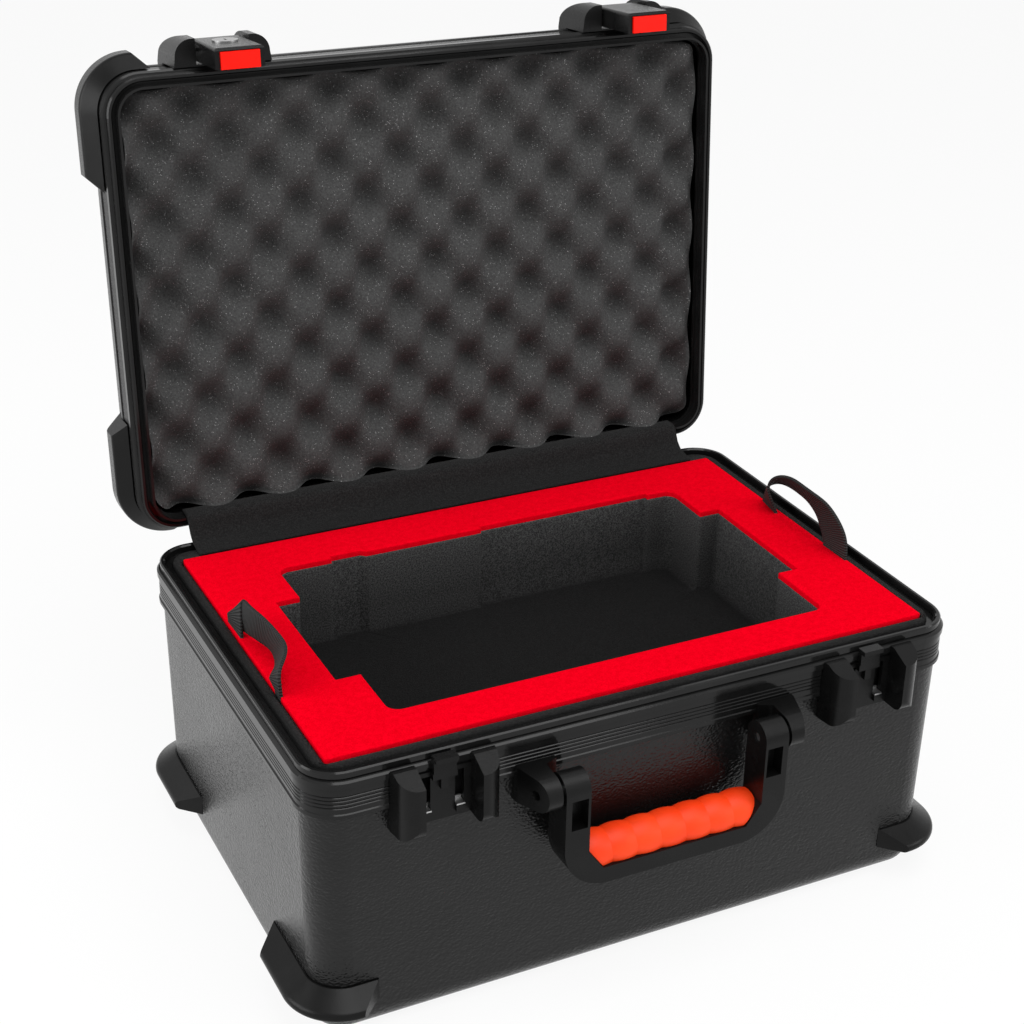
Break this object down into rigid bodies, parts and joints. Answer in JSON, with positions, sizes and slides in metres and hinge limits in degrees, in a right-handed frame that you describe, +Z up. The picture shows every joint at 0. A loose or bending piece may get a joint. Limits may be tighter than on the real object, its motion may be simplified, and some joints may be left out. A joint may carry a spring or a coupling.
{
  "type": "hard case",
  "caption": "Moulded hard case with a hinged lid, ribbed rim bands, draw latches with push buttons, a swinging carry handle, corner bumpers and a lift-out foam insert with pull loops.",
  "frame": {"origin": "centre of the flat underside of the base", "axes": "+X to the right seen from the latch side, +Y towards the hinges, +Z up; the lid is stored open as pictured"},
  "size_m": [0.4612, 0.4225, 0.5163],
  "materials": {
    "shell_plastic": "fine leather grain, black",
    "rim_metal": "black anodised, satin, ribbed",
    "bumper_plastic": "smooth satin black",
    "latch_plastic": "satin black",
    "handle_plastic": "satin black",
    "grip_rubber": "soft matte orange red",
    "button_plastic": "red, slightly glossy",
    "steel": "plain steel",
    "hinge_metal": "black painted steel",
    "lock_metal": "nickel plated",
    "liner_foam": "black felted foam with a fuzzy cut edge",
    "insert_foam": "black closed-cell foam",
    "insert_felt": "bright red felt",
    "lid_foam": "charcoal egg-crate foam",
    "webbing": "black ribbed webbing"
  },
  "bodies": {
    "base": {"base_shell": "shell_plastic", "base_valance": "rim_metal", "base_bumper_front_right": "bumper_plastic", "base_bumper_back_right": "bumper_plastic", "base_bumper_back_left": "bumper_plastic", "base_bumper_front_left": "bumper_plastic", "latch_strike_left": "latch_plastic", "latch_strike_right": "latch_plastic", "strike_catch_left": "steel", "strike_catch_right": "steel", "handle_bracket_left": "handle_plastic", "handle_bracket_right": "handle_plastic", "handle_pin_left": "steel", "handle_pin_right": "steel", "hinge_base_leaf_left": "hinge_metal", "hinge_base_leaf_right": "hinge_metal", "hinge_pin_left": "steel", "hinge_pin_right": "steel", "base_liner": "liner_foam", "floor_pad": "liner_foam", "hinge_cover": "liner_foam"},
    "lid": {"lid_shell": "shell_plastic", "lid_valance": "rim_metal", "lid_foam": "lid_foam", "lid_bumper_front_right": "bumper_plastic", "lid_bumper_back_right": "bumper_plastic", "lid_bumper_back_left": "bumper_plastic", "lid_bumper_front_left": "bumper_plastic", "hinge_lid_leaf_left": "hinge_metal", "hinge_lid_leaf_right": "hinge_metal", "latch_bracket_left": "latch_plastic", "latch_bracket_right": "latch_plastic", "latch_pin_left": "steel", "latch_pin_right": "steel"},
    "tray": {"tray_floor": "insert_foam", "tray_frame": "insert_foam", "tray_top": "insert_felt", "pull_loop_left": "webbing", "pull_loop_right": "webbing"},
    "handle": {"handle_bail": "handle_plastic", "handle_grip": "grip_rubber"},
    "latch_lever_left": {"latch_lever_left": "latch_plastic", "lock_cylinder": "lock_metal", "button_spring_left": "steel"},
    "latch_lever_right": {"latch_lever_right": "latch_plastic", "button_spring_right": "steel"},
    "latch_button_left": {"latch_button_left": "button_plastic"},
    "latch_button_right": {"latch_button_right": "button_plastic"},
    "lock_plug": {"lock_plug": "lock_metal"}
  },
  "joints": [
    {"name": "lid_hinge", "type": "hinge", "parent": "base", "child": "lid", "pos_m": [0, 0.1585, 0.1882], "axis": [1, 0, 0], "range_deg": [0, 94], "deforming": ["hinge_cover", "pull_loop_left", "pull_loop_right"]},
    {"name": "tray_lift", "type": "slide", "parent": "base", "child": "tray", "axis": [0, 0, -1], "range_m": [-0.1, 0]},
    {"name": "handle_swing", "type": "hinge", "parent": "base", "child": "handle", "pos_m": [0, -0.171, 0.1545], "axis": [-1, 0, 0], "range_deg": [0, 95]},
    {"name": "latch_left", "type": "hinge", "parent": "lid", "child": "latch_lever_left", "pos_m": [-0.1395, 0.19865, 0.50718], "axis": [-1, 0, 0], "range_deg": [-2.5, 75]},
    {"name": "button_left", "type": "slide", "parent": "latch_lever_left", "child": "latch_button_left", "axis": [0, 0.9976, -0.0698], "range_m": [0, 0.003], "stiffness_N_per_m": 400, "deforming": ["button_spring_left"]},
    {"name": "latch_right", "type": "hinge", "parent": "lid", "child": "latch_lever_right", "pos_m": [0.1485, 0.19865, 0.50718], "axis": [-1, 0, 0], "range_deg": [-2.5, 75]},
    {"name": "button_right", "type": "slide", "parent": "latch_lever_right", "child": "latch_button_right", "axis": [0, 0.9976, -0.0698], "range_m": [0, 0.003], "stiffness_N_per_m": 400, "deforming": ["button_spring_right"]},
    {"name": "lock_turn", "type": "hinge", "parent": "latch_lever_left", "child": "lock_plug", "pos_m": [-0.1395, 0.18011, 0.51449], "axis": [0, 0.0698, 0.9976], "range_deg": [0, 90]}
  ]
}
